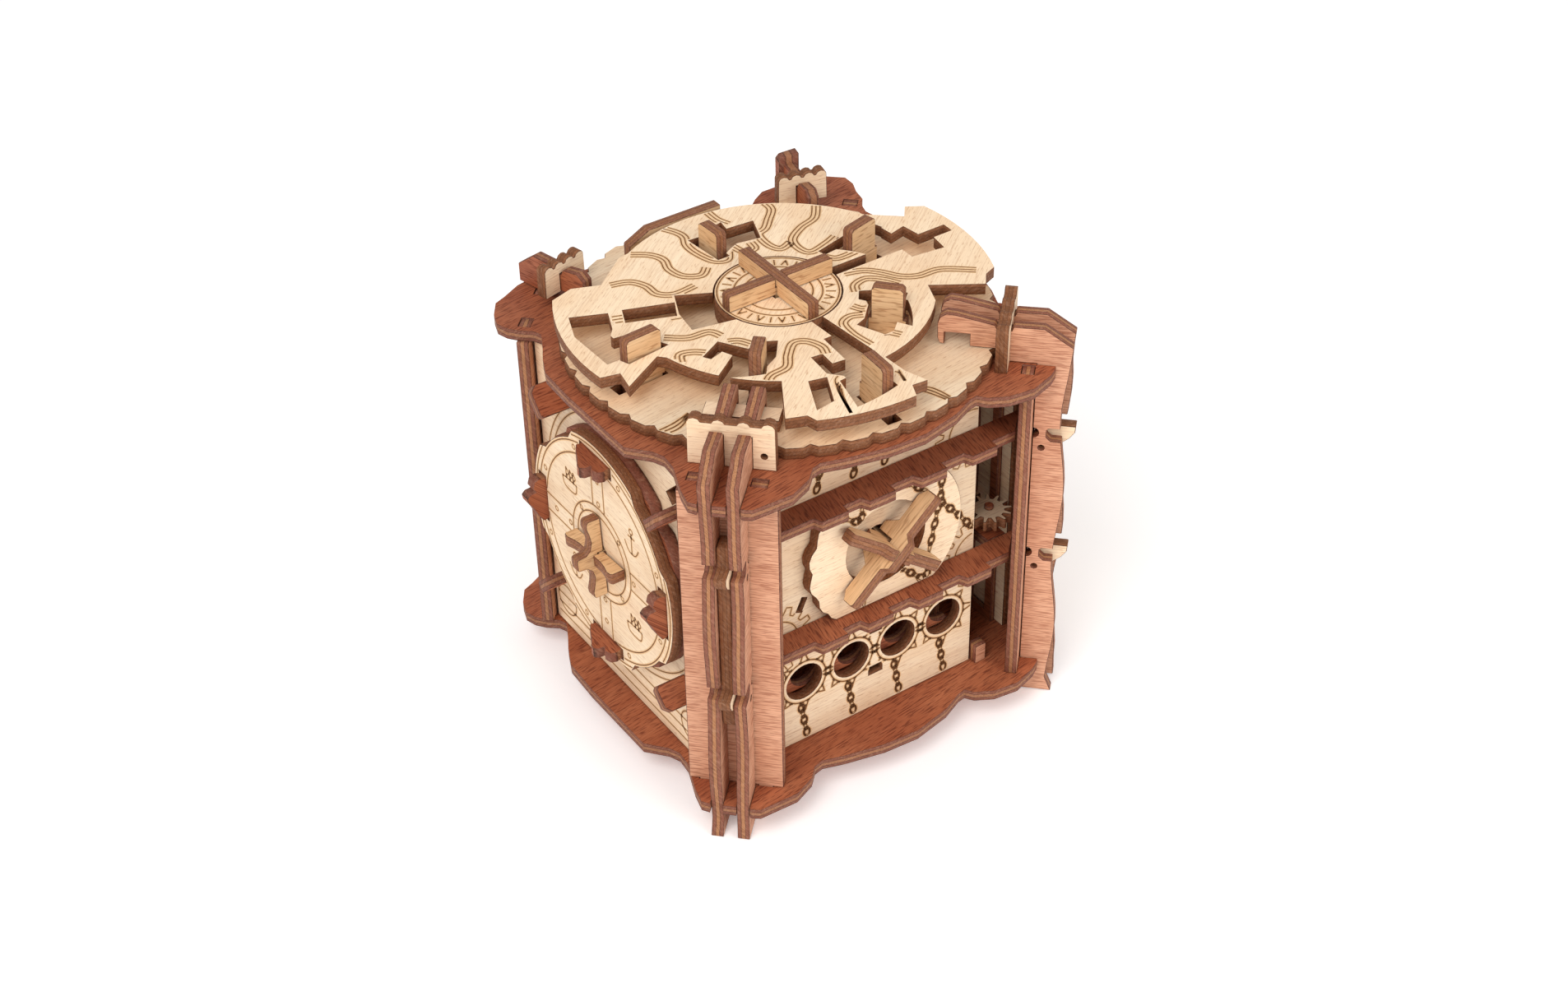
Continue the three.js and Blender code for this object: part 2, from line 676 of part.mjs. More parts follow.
function makeScallopDisc() {
  const guides = PEGS.map(({ angle, radius, length }) => {
    const half = length / 2;
    return spin(rectangle(radius - half - 1.5, -2.4, radius + half + PEG_TRAVEL + 1.5, 2.4), angle);
  });
  lay('scallop_disc', plate(ringOutline(), [circle(6.2, [0, 0], 24), ...guides]), 'light', RING_BASE);
}

function makePegs() {
  PEGS.forEach(({ angle, radius, length }, i) => {
    const half = length / 2;
    const shoulder = half + 1;
    const shape = [
      [radius - half, RING_BASE + 0.3], [radius + half, RING_BASE + 0.3],
      [radius + half, RING_BASE + PLY + 0.3],
      [radius + shoulder, RING_BASE + PLY + 0.3], [radius + shoulder, MAZE_BASE - 0.3],
      [radius + half, MAZE_BASE - 0.3], [radius + half, 143], [radius + half - 1, 144],
      [radius - half + 1, 144], [radius - half, 143], [radius - half, MAZE_BASE - 0.3],
      [radius - shoulder, MAZE_BASE - 0.3], [radius - shoulder, RING_BASE + PLY + 0.3],
      [radius - half, RING_BASE + PLY + 0.3],
    ];
    stand(`peg_${i + 1}`, plate(shape), 'tan', PLY / 2, angle);
  });
}

// The maze disc: broad blades out to MAZE_REACH between recesses that clear the fin arms.
function mazeOutline() {
  return [
    ...arc(MAZE_INNER, 24, 120, 20), polar(56, 124), polar(57, 141), polar(66.5, 143.5),
    ...arc(MAZE_REACH, 149, 187, 9), polar(66, 189), polar(69, 195), polar(52, 190),
    ...arc(MAZE_RECESS, 193, 237, 9), polar(70, 237.5), polar(69, 243), ...arc(MAZE_REACH, 245, 271, 7),
    polar(67, 273), polar(68, 277.5), polar(60, 276),
    ...arc(MAZE_RECESS, 276.5, 318, 8), polar(48, 328.5), polar(66.5, 328), polar(67.5, 333),
    ...arc(MAZE_REACH - 1, 336, 372, 9), polar(66.5, 376), polar(61.5, 372.5),
  ];
}

// A slot that follows its peg as the disc turns, spiralling out with the peg's travel.
function mazeChannel({ angle, radius, length }) {
  const steps = 6;
  const inner = [];
  const outer = [];
  const lead = THREE.MathUtils.radToDeg(Math.asin((PLY / 2 + 0.7) / (radius - length / 2)));
  const half = length / 2 + 0.4 + (PEG_TRAVEL * lead) / MAZE_TURN;
  for (let i = 0; i <= steps; i++) {
    const turned = -lead + ((MAZE_TURN + 2 * lead) * i) / steps;
    const centre = radius + (PEG_TRAVEL * turned) / MAZE_TURN;
    inner.push(polar(centre - half, angle - turned));
    outer.push(polar(centre + half, angle - turned));
  }
  return through([...outer.reverse(), ...inner]);
}

function through(points) {
  return plate(points, [], 3 * PLY).translate(0, 0, -PLY);
}

// Holes around the pegs. Each is one closed outline on the disc.
const MAZE_HOLES = {
  upperLeft: [[-62.5, 25.5], [-51, 20.5], [-54.5, 12], [-57, 9], [-57, -4], [-66, -4], [-66.5, 15]],
  left: [[-46.5, 19.5], [-30.5, 13.5], [-34, 6.5], [-49.5, 12.5]],
  besideDial: [[-28.5, 17], [-17, 11], [-20, -6], [-34.5, -3], [-33, 7]],
  upper: [[-7, 42.5], [17.5, 40.5], [13.5, 30], [3, 32], [-1, 31], [-1, 26.5], [-5.5, 26.5]],
  upperRight: [[24, 12], [48, 18], [50, 12], [24.8, 9]],
  right: [[20, 1.5], [36, 1.5], [44, 1.5], [46, 16], [49, 16], [50, 7], [56, 8.5], [57, 1.5], [67.5, 1.5],
    [67.5, -3], [60, -3], [59, -10], [47, -8.5], [47, -3], [20, -3]],
  lowerRight: [[21, -15], [27, -18.5], [33, -25], [22, -35], [16.5, -40], [13, -40], [9, -30.5],
    [13, -29], [20, -22], [18, -19]],
  lower: [[-13, -37], [-9, -37.5], [-9.5, -43.5], [-5, -44], [-4, -31], [-1, -31], [-1.5, -20],
    [3, -20], [5, -44], [4, -56], [0, -61], [-5, -61], [-5.5, -57], [-11, -57], [-10.5, -51], [-14, -47]],
  lowerLeft: [[-40, -17.5], [-31.5, -13], [-26, -22], [-22, -20], [-16, -23.5], [-21.5, -30.5],
    [-28, -34], [-35.5, -26], [-32, -22], [-33.5, -18.5], [-38.5, -20]],
  blade: [[-21, -47], [-15, -48.5], [-20.5, -60], [-27.5, -61]],
};

function makeMazeDisc() {
  const disc = plate(mazeOutline(), [circle(DIAL_RADIUS + 0.4, [0, 0], 48)]);
  const tools = [...PEGS.map(mazeChannel), ...Object.values(MAZE_HOLES).map(through)];
  lay('maze_disc', cut(disc, tools), 'light', MAZE_BASE);
}

function makeDial() {
  const face = plate(circle(DIAL_RADIUS, [0, 0], 48), [rectangle(-3.1, -3.1, 3.1, 3.1)], 7.5);
  lay('centre_dial', face.translate(0, 0, -3.5), 'light', MAZE_BASE);
  const lap = PLY / 2 + PLAY;
  const [tang, foot, crest] = [MAZE_BASE + 0.8, MAZE_BASE + PLY + PLAY, 143.2];
  const middle = (foot + crest) / 2;
  const tip = [[20, foot], [20, crest - 0.6], [19.4, crest]];
  const tail = [[-19.4, crest], [-20, crest - 0.6], [-20, foot]];
  const tangEnd = [[-2.6, foot], [-2.6, tang], [2.6, tang], [2.6, foot]];
  const notchAbove = [[lap, crest], [lap, middle - 0.1], [-lap, middle - 0.1], [-lap, crest]];
  const notchBelow = [[-lap, foot], [-lap, middle + 0.1], [lap, middle + 0.1], [lap, foot]];
  stand('dial_bar_long', plate([...tangEnd, ...tip, ...notchAbove, ...tail]), 'tan', PLY / 2);
  stand('dial_bar_cross', plate([...notchBelow, ...tip, ...tail]), 'tan', PLY / 2, 90);
}

// ---- gear train ----
function gearOutline(teeth) {
  const pitch = (TOOTH_MODULE * teeth) / 2;
  const step = 360 / teeth;
  const points = [];
  for (let i = 0; i < teeth; i++) {
    const middle = i * step;
    points.push(polar(pitch - 2.3, middle - 0.36 * step), polar(pitch, middle - 0.21 * step));
    points.push(polar(pitch + 1.7, middle - 0.1 * step), polar(pitch + 1.7, middle + 0.1 * step));
    points.push(polar(pitch, middle + 0.21 * step), polar(pitch - 2.3, middle + 0.36 * step));
  }
  return points;
}

function makeGears() {
  const bayHeading = THREE.MathUtils.radToDeg(Math.atan2(BAY_AXIS.y, BAY_AXIS.x));
  const dialHole = rectangle(-2.8, -2.8, 2.8, 2.8);
  const windows = [0, 60, 120, 180, 240, 300].map((angle) => circle(6, polar(22, angle), 20));
  const dialGear = plate(gearOutline(DIAL_TEETH), [spin(dialHole, -bayHeading), ...windows]);
  lay('dial_gear', dialGear, 'light', GEAR_BASE, bayHeading);
  const spindle = rectangle(-2.5, -2.5, 2.5, 2.5);
  const spindleTop = MAZE_BASE + 0.5;
  lay('dial_spindle', plate(spindle, [], spindleTop - GEAR_BASE + 2), 'tan', GEAR_BASE - 2);
  const facing = 180 + 180 / BAY_TEETH;
  const bayGears = [
    ['bay_gear_upper', BAY_TEETH, GEAR_BASE],
    ['bay_gear_lower', LOWER_TEETH, LOWER_GEAR_BASE],
  ];
  for (const [name, count, base] of bayGears) {
    const teeth = spin(gearOutline(count), bayHeading + facing);
    const gear = lay(name, plate(teeth, [circle(2.8, [0, 0], 12)]), 'light', base);
    gear.position.set(BAY_AXIS.x, BAY_AXIS.y, base);
  }
  const shaft = lay('bay_shaft', plate(circle(2.4, [0, 0], 12), [], CASE_HEIGHT + PLY + 2), 'tan', -3);
  shaft.position.set(BAY_AXIS.x, BAY_AXIS.y, -3);
}

// ---- drawer in the back ----
function makeDrawer() {
  const { width, depth, height, base } = DRAWER;
  const half = width / 2;
  const front = SIDE_FACE;
  const finger = circle(6, [0, base + height * 0.62], 24);
  const face = plate(rectangle(-half, base, half, base + height), [finger]);
  stand('drawer_front', face, 'dark', -front + PLY, 180);
  const inner = half - 1;
  const innerFront = front - PLY - PLAY;
  const floor = plate(rectangle(-inner, -innerFront, inner, -innerFront + depth));
  lay('drawer_floor', floor, 'light', base + 0.5, 180);
  const wallHeight = height - 8;
  const low = base + 0.5 + PLY + PLAY;
  for (const [side, x] of [['left', -inner + PLY], ['right', inner]]) {
    const wall = plate(rectangle(innerFront - depth, low, innerFront, low + wallHeight));
    stand(`drawer_side_${side}`, wall, 'light', x, 90);
  }
  const back = plate(rectangle(-inner + PLY + PLAY, low, inner - PLY - PLAY, low + wallHeight));
  stand('drawer_back', back, 'light', -innerFront + depth, 180);
}

makeEndPlates();
makeCornerBoards();
makeFins();
makeSkid();
makeLugs();
makeCrownClips();
makeNoseFrame();
makeLatches();
makeFrontPanel();
makeLeftPanel();
makeRightPanel();
makeBackPanel();
makeShelves();
makeShield();
makeBaySlats();
makeShutter();
makeKnob();
makeCompass();
makeVanes();
makeScallopDisc();
makePegs();
makeMazeDisc();
makeDial();
makeGears();
makeDrawer();

// Stand the box on z = 0 with its plan centred on the origin.
box.updateMatrixWorld(true);
const bounds = new THREE.Box3().setFromObject(box, true);
const centre = bounds.getCenter(new THREE.Vector3());
box.position.set(-centre.x, -centre.y, -bounds.min.z);

const group = new THREE.Group();
group.add(box);

export default group;
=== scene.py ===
import json
import math
import random
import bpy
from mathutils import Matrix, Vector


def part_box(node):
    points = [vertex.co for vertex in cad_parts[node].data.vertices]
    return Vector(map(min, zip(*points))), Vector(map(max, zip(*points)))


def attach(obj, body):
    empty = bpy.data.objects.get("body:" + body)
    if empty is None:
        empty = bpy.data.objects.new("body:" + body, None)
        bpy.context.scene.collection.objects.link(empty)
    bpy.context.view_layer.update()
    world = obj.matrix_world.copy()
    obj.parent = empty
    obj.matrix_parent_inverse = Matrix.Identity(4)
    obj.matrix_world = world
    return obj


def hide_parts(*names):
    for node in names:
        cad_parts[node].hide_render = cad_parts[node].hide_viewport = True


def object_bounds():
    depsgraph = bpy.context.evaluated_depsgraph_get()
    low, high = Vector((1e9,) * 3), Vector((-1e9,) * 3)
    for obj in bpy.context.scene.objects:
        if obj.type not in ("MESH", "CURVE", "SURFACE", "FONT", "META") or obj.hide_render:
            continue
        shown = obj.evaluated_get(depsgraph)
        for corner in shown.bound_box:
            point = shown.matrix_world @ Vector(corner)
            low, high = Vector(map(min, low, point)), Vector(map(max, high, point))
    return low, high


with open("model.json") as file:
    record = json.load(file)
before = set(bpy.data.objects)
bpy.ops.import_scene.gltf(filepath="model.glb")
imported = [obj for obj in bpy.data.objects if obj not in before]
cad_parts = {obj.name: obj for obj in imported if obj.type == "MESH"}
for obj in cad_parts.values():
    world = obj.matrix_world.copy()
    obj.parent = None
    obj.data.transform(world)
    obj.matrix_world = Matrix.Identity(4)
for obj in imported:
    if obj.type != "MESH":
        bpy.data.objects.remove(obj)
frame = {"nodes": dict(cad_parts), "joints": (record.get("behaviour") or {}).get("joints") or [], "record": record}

import zlib

import bmesh
import bpy
from mathutils import Matrix, Vector
from mathutils.bvhtree import BVHTree

MM = 0.001
CAD_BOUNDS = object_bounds()

# ---- the box's own coordinates: millimetres about its centre line, z = 0 on the floor plate ----
JOINTS = {joint["name"]: joint for joint in frame["joints"]}
SLOTS = {sub["node"]: sub["material_slot"] for sub in frame["record"]["subparts"]}
BODY_OF = {}
for body_name, members in frame["record"]["behaviour"]["bodies"].items():
    for member in members:
        BODY_OF[member] = body_name
ORIGIN = Vector(JOINTS["maze_turn"]["pos_m"])
ORIGIN.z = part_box("floor_plate")[1].z


def at(x, y, z):
    """A point given in the box's own millimetres, in the row frame's metres."""
    return ORIGIN + Vector((x, y, z)) * MM


def polar(radius, degrees, centre=(0.0, 0.0)):
    angle = math.radians(degrees)
    return (centre[0] + radius * math.cos(angle), centre[1] + radius * math.sin(angle))


# ---- materials ----
def srgb(red, green, blue):
    """An 8-bit display colour as a linear one."""
    out = []
    for value in (red, green, blue):
        value /= 255.0
        out.append(value / 12.92 if value <= 0.04045 else ((value + 0.055) / 1.055) ** 2.4)
    return (*out, 1.0)


class Nodes:
    """Short calls for building a node tree."""

    def __init__(self, name):
        self.material = bpy.data.materials.new(name)
        self.material.use_nodes = True
        self.tree = self.material.node_tree
        self.shader = self.tree.nodes["Principled BSDF"]

    def link(self, source, target):
        self.tree.links.new(source, target)

    def add(self, kind, **settings):
        node = self.tree.nodes.new(kind)
        for key, value in settings.items():
            setattr(node, key, value)
        return node

    def attribute(self, name):
        return self.add("ShaderNodeAttribute", attribute_type="GEOMETRY", attribute_name=name)

    def scaled(self, vector, factors, offset=(0.0, 0.0, 0.0)):
        node = self.add("ShaderNodeMapping")
        node.inputs["Scale"].default_value = factors
        node.inputs["Location"].default_value = offset
        self.link(vector, node.inputs["Vector"])
        return node.outputs["Vector"]

    def noise(self, vector, detail=2.0, roughness=0.5, distortion=0.0):
        node = self.add("ShaderNodeTexNoise")
        node.inputs["Scale"].default_value = 1.0
        node.inputs["Detail"].default_value = detail
        node.inputs["Roughness"].default_value = roughness
        node.inputs["Distortion"].default_value = distortion
        self.link(vector, node.inputs["Vector"])
        return node.outputs["Fac"]

    def ramp(self, factor, stops, interpolation="LINEAR"):
        node = self.add("ShaderNodeValToRGB")
        node.color_ramp.interpolation = interpolation
        elements = node.color_ramp.elements
        while len(elements) < len(stops):
            elements.new(0.5)
        for element, (position, colour) in zip(elements, stops):
            element.position = position
            element.color = colour
        self.link(factor, node.inputs["Fac"])
        return node.outputs["Color"]

    def levels(self, factor, low, high, out_low=0.0, out_high=1.0):
        node = self.add("ShaderNodeMapRange")
        node.inputs["From Min"].default_value = low
        node.inputs["From Max"].default_value = high
        node.inputs["To Min"].default_value = out_low
        node.inputs["To Max"].default_value = out_high
        self.link(factor, node.inputs["Value"])
        return node.outputs["Result"]

    def blend(self, factor, first, second, mode="MIX"):
        node = self.add("ShaderNodeMix", data_type="RGBA", blend_type=mode)
        sockets = {s.name: s for s in node.inputs if s.type == "RGBA"}
        if isinstance(factor, float):
            node.inputs["Factor"].default_value = factor
        else:
            self.link(factor, node.inputs["Factor"])
        for value, socket in ((first, sockets["A"]), (second, sockets["B"])):
            if isinstance(value, tuple):
                socket.default_value = value
            else:
                self.link(value, socket)
        return next(s for s in node.outputs if s.type == "RGBA")

    def maths(self, operation, first, second):
        node = self.add("ShaderNodeMath", operation=operation)
        for value, socket in ((first, node.inputs[0]), (second, node.inputs[1])):
            if isinstance(value, float):
                socket.default_value = value
            else:
                self.link(value, socket)
        return node.outputs["Value"]

    def finish(self, colour, roughness, height, bump_mm):
        self.link(colour, self.shader.inputs["Base Color"])
        self.link(roughness, self.shader.inputs["Roughness"])
        bump = self.add("ShaderNodeBump")
        bump.inputs["Strength"].default_value = 0.7
        bump.inputs["Distance"].default_value = bump_mm * MM
        self.link(height, bump.inputs["Height"])
        self.link(bump.outputs["Normal"], self.shader.inputs["Normal"])
        self.shader.inputs["Specular IOR Level"].default_value = 0.3
        return self.material


# Each wood: its face colour, the colour of its pores, a paler and a redder drift, and how the
# pores lie (length, width in mm, how much of the surface they take, how strong they are).
WOODS = {
    "birch_ply": {
        "base": srgb(247, 217, 181), "pore": srgb(186, 132, 90), "pale": srgb(254, 231, 199),
        "warm": srgb(236, 195, 152), "pore_size": (3.6, 0.25), "pore_share": 0.57, "strength": 0.5,
    },
    "tan_ply": {
        "base": srgb(229, 186, 138), "pore": srgb(158, 104, 62), "pale": srgb(240, 203, 158),
        "warm": srgb(206, 156, 106), "pore_size": (6.5, 0.42), "pore_share": 0.53, "strength": 0.58,
    },
    "rose_ply": {
        "base": srgb(212, 158, 126), "pore": srgb(150, 88, 62), "pale": srgb(226, 174, 142),
        "warm": srgb(202, 142, 110), "pore_size": (6.5, 0.21), "pore_share": 0.48, "strength": 0.62,
    },
    "mahogany_ply": {
        "base": srgb(166, 91, 58), "pore": srgb(96, 38, 22), "pale": srgb(188, 114, 78),
        "warm": srgb(148, 70, 42), "pore_size": (5.5, 0.26), "pore_share": 0.50, "strength": 0.68,
    },
}


def face_material(name, spec):
    """A plate's broad face: colour drift, fine lines along the grain, short dark pores, and a per-piece level that
    darkens the whole face (random wood variation, with painted shade for the shadowed pieces).
    """
    n = Nodes(name + "_face")
    grain = n.attribute("grain").outputs["Vector"]
    tone_and_shade = n.attribute("tone_and_shade").outputs["Fac"]
    drift = n.noise(n.scaled(grain, (0.012, 0.11, 0.0)), 3.0, 0.6, 0.4)
    colour = n.blend(n.levels(drift, 0.3, 0.7), spec["pale"], spec["base"])
    patch = n.noise(n.scaled(grain, (0.035, 0.05, 0.0), (40.0, 7.0, 0.0)), 2.0, 0.5)
    colour = n.blend(n.levels(patch, 0.45, 0.8, 0.0, 0.6), colour, spec["warm"])
    lines = n.noise(n.scaled(grain, (0.03, 1.5, 0.0), (3.0, 11.0, 0.0)), 4.0, 0.7, 0.15)
    colour = n.blend(n.levels(lines, 0.48, 0.74, 0.0, 0.5), colour, spec["pore"])
    length, width = spec["pore_size"]
    pore_scale = (1.0 / length, 1.0 / (2.0 * width), 0.0)
    pores = n.noise(n.scaled(grain, pore_scale, (9.0, 5.0, 0.0)), 2.0, 0.55, 0.1)
    share = spec["pore_share"]
    mask = n.levels(pores, share, share + 0.12, 0.0, spec["strength"])
    colour = n.blend(mask, colour, spec["pore"])
    # Per-piece darkening: levels 0 to 1 are random wood variation, levels below 0 are painted shade for pieces in
    # shadow.
    shade = n.levels(tone_and_shade, -2.0, 1.0, 0.58, 1.06)
    combine = n.add("ShaderNodeCombineColor")
    for channel in ("Red", "Green", "Blue"):
        n.link(shade, combine.inputs[channel])
    colour = n.blend(1.0, colour, combine.outputs["Color"], "MULTIPLY")
    rough = n.levels(mask, 0.0, 1.0, 0.56, 0.82)
    height = n.maths("SUBTRACT", n.levels(lines, 0.3, 0.7, 0.0, 0.35), mask)
    return n.finish(colour, rough, height, 0.06)


# The cut edge of each wood: outer plies, glue line and core, from the burn of the laser.
EDGES = {
    "birch_ply": (srgb(142, 90, 56), srgb(102, 60, 36), srgb(132, 84, 52)),
    "tan_ply": (srgb(150, 98, 70), srgb(104, 62, 44), srgb(158, 104, 68)),
    "rose_ply": (srgb(146, 90, 70), srgb(92, 52, 40), srgb(182, 126, 86)),
    "mahogany_ply": (srgb(134, 80, 62), srgb(84, 46, 34), srgb(166, 112, 78)),
}
BURN = srgb(64, 34, 22)


def edge_material(name, colours):
    """A cut edge: three plies with dark glue lines, scorched rims and fine upright scores."""
    n = Nodes(name + "_edge")
    outer, glue, core = colours
    grain = n.attribute("grain").outputs["Vector"]
    split = n.add("ShaderNodeSeparateXYZ")
    n.link(grain, split.inputs["Vector"])
    wobble = n.noise(n.scaled(grain, (0.5, 0.5, 0.0)), 2.0, 0.5)
    depth = n.maths("ADD", split.outputs["Z"], n.levels(wobble, 0.2, 0.8, -0.03, 0.03))
    stops = [
        (0.0, BURN), (0.07, outer), (0.29, outer), (0.335, glue), (0.38, core),
        (0.62, core), (0.665, glue), (0.71, outer), (0.93, outer), (1.0, BURN),
    ]
    colour = n.ramp(depth, stops)
    scores = n.noise(n.scaled(grain, (2.6, 2.6, 1.6)), 3.0, 0.7)
    colour = n.blend(n.levels(scores, 0.42, 0.72, 0.0, 0.62), colour, BURN)
    ash = n.noise(n.scaled(grain, (0.9, 0.9, 3.0), (5.0, 2.0, 0.0)), 3.0, 0.6)
    colour = n.blend(n.levels(ash, 0.5, 0.8, 0.0, 0.4), colour, srgb(190, 150, 122))
    rough = n.levels(scores, 0.3, 0.8, 0.6, 0.85)
    return n.finish(colour, rough, scores, 0.12)


def engraving_material(name, colour, ash_colour):
    """The bottom of a laser-engraved line."""
    n = Nodes(name)
    where = n.add("ShaderNodeTexCoord").outputs["Object"]
    scorch = n.noise(n.scaled(where, (900.0, 900.0, 900.0)), 3.0, 0.6)
    shade = n.blend(n.levels(scorch, 0.35, 0.7), colour, ash_colour)
    rough = n.levels(scorch, 0.3, 0.7, 0.7, 0.9)
    return n.finish(shade, rough, scorch, 0.03)


FACE = {name: face_material(name, spec) for name, spec in WOODS.items()}
EDGE = {name: edge_material(name, colours) for name, colours in EDGES.items()}
ENGRAVED = engraving_material("engraved_line", srgb(104, 64, 34), srgb(140, 94, 54))
SMOKED = engraving_material("smoke_stain", srgb(222, 180, 132), srgb(234, 198, 154))


# ---- dressing a plate: the CAD solid with eased, scorched edges ----
EASE = 0.22 * MM
WELD = 2e-6                        # vertices closer than this are one
FLATNESS = math.radians(0.4)       # facets within this angle are one face
SHARP = math.radians(32)           # edges over this angle are eased
SMOOTH = math.radians(50)          # edges under this angle are shaded smooth
FACING = 0.97                      # cosine that tells a broad face from a cut edge
TAB_REACH = 5.0 * MM
TAB_AREA = 60.0 * MM * MM


def clean_copy(node):
    bm = bmesh.new()
    bm.from_mesh(frame["nodes"][node].data)
    bmesh.ops.remove_doubles(bm, verts=bm.verts, dist=WELD)
    bmesh.ops.dissolve_limit(
        bm, angle_limit=FLATNESS, verts=bm.verts, edges=bm.edges, delimit={"NORMAL"}
    )
    bm.normal_update()
    return bm


def plate_axis(bm):
    """The direction that most of the surface faces."""
    areas = {}
    for face in bm.faces:
        normal = face.normal
        lead = next((c for c in normal if abs(c) > 0.01), 1.0)
        key = tuple(round(c * (1 if lead > 0 else -1), 2) for c in normal)
        areas[key] = areas.get(key, 0.0) + face.calc_area()
    return Vector(max(areas, key=areas.get)).normalized()


def plate_frame(axis, grain_degrees):
    """Directions along and across the grain in the plane of a plate."""
    if abs(axis.z) > 0.7:
        level = Vector((1, 0, 0))
    else:
        level = Vector((0, 0, 1)).cross(axis).normalized()
    up = axis.cross(level).normalized()
    if up.z < -0.01 or (abs(up.z) <= 0.01 and up.y < 0):
        up = -up
    angle = math.radians(grain_degrees)
    along = level * math.cos(angle) + up * math.sin(angle)
    return along, axis.cross(along).normalized()


# Painted shade: pieces that sit in shadow, on the shelves under the overhang and in the gear bay, take a darker
# level below 0; the others take a random level between 0 and 1 for the wood's own variation.
PAINTED_SHADE_LEVEL = {"upper_shelf_ply": -1.7, "lower_shelf_ply": -0.2, "bay_wheel": -0.6, "bay_slats_ply": -0.8}


def write_grain(mesh, axis, grain_degrees, seed_name):
    """Stores each point's place along, across and through the plate for the materials."""
    along, across = plate_frame(axis, grain_degrees)
    rng = random.Random(zlib.crc32(seed_name.encode()))
    shift = (rng.uniform(-500, 500), rng.uniform(-500, 500))
    depths = [vertex.co.dot(axis) for vertex in mesh.vertices]
    low = min(depths)
    span = max(max(depths) - low, 1e-6)
    # Painted shade for the listed pieces in shadow, a random wood level for the rest.
    level = PAINTED_SHADE_LEVEL.get(seed_name, rng.random())
    places = []
    for vertex, depth in zip(mesh.vertices, depths):
        where = vertex.co
        through = (depth - low) / MM
        places += [where.dot(along) / MM + shift[0], where.dot(across) / MM + shift[1] + through,
                   (depth - low) / span]
    mesh.attributes.new("grain", "FLOAT_VECTOR", "POINT").data.foreach_set("vector", places)
    levels = [level] * len(mesh.vertices)
    mesh.attributes.new("tone_and_shade", "FLOAT", "POINT").data.foreach_set("value", levels)


def stands_out(face, axis):
    """True for the broad side of a tab joined square to its plate."""
    reach = [vertex.co.dot(axis) for vertex in face.verts]
    return max(reach) - min(reach) > TAB_REACH and face.calc_area() > TAB_AREA


def finish_plate(name, bm, axis, wood, body, grain_degrees, replaces, ease=EASE):
    sharp = [e for e in bm.edges if len(e.link_faces) == 2 and e.calc_face_angle() > SHARP]
    bmesh.ops.bevel(bm, geom=sharp, offset=ease, segments=1, affect="EDGES", clamp_overlap=True)
    bm.normal_update()
    mesh = bpy.data.meshes.new(name)
    for face in bm.faces:
        broad = abs(face.normal.dot(axis)) > FACING or stands_out(face, axis)
        face.material_index = 0 if broad else 1
        face.smooth = not broad
    for edge in bm.edges:
        edge.smooth = len(edge.link_faces) == 2 and edge.calc_face_angle() < SMOOTH
    bm.to_mesh(mesh)
    bm.free()
    write_grain(mesh, axis, grain_degrees, name)
    mesh.materials.append(FACE[wood])
    mesh.materials.append(EDGE[wood])
    piece = bpy.data.objects.new(name, mesh)
    bpy.context.collection.objects.link(piece)
    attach(piece, body)
    if replaces:
        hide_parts(*replaces)
    return piece


# How the grain of each piece runs: degrees from level (upright plates) or from +X (flat plates).
GRAIN = {
    "maze_disc": 37, "centre_dial": 37, "scallop_disc": 8, "top_plate": 8, "floor_plate": 8,
    "compass_rim": 0, "compass_dial": 0,
    "upper_shelf": 80, "lower_shelf": 80,
}


def dress(node):
    bm = clean_copy(node)
    axis = plate_axis(bm)
    wood = SLOTS[node]
    return finish_plate(node + "_ply", bm, axis, wood, BODY_OF[node], GRAIN.get(node, 0), [node])


for node_name in frame["nodes"]:
    dress(node_name)


# ---- trim: small pieces seen on the box that carry nothing ----
PLY = 4.0


def trim_plate(name, profile, origin, across, up, thickness, wood):
    """A plate drawn in its own plane and thickened towards the side it faces."""
    normal = Vector(across).cross(Vector(up))
    near = [Vector(origin) + Vector(across) * u + Vector(up) * v for u, v in profile]
    bm = bmesh.new()
    fronts = [bm.verts.new(at(*(point + normal * thickness))) for point in near]
    backs = [bm.verts.new(at(*point)) for point in near]
    bm.faces.new(fronts)
    bm.faces.new(list(reversed(backs)))
    for i in range(len(profile)):
        j = (i + 1) % len(profile)
        bm.faces.new((fronts[j], fronts[i], backs[i], backs[j]))
    bmesh.ops.recalc_face_normals(bm, faces=bm.faces)
    finish_plate(name, bm, normal, wood, "box", 0, [])


def make_rear_rail():
    """The short upright rail behind the maze disc, tapering at its left-hand end."""
    profile = [(-22, 127.0), (14, 127.0), (14, 137.4), (-14, 137.4), (-22, 133.4)]
    trim_plate("rear_rail", profile, (0, 59, 0), (1, 0, 0), (0, 0, 1), PLY, "tan_ply")


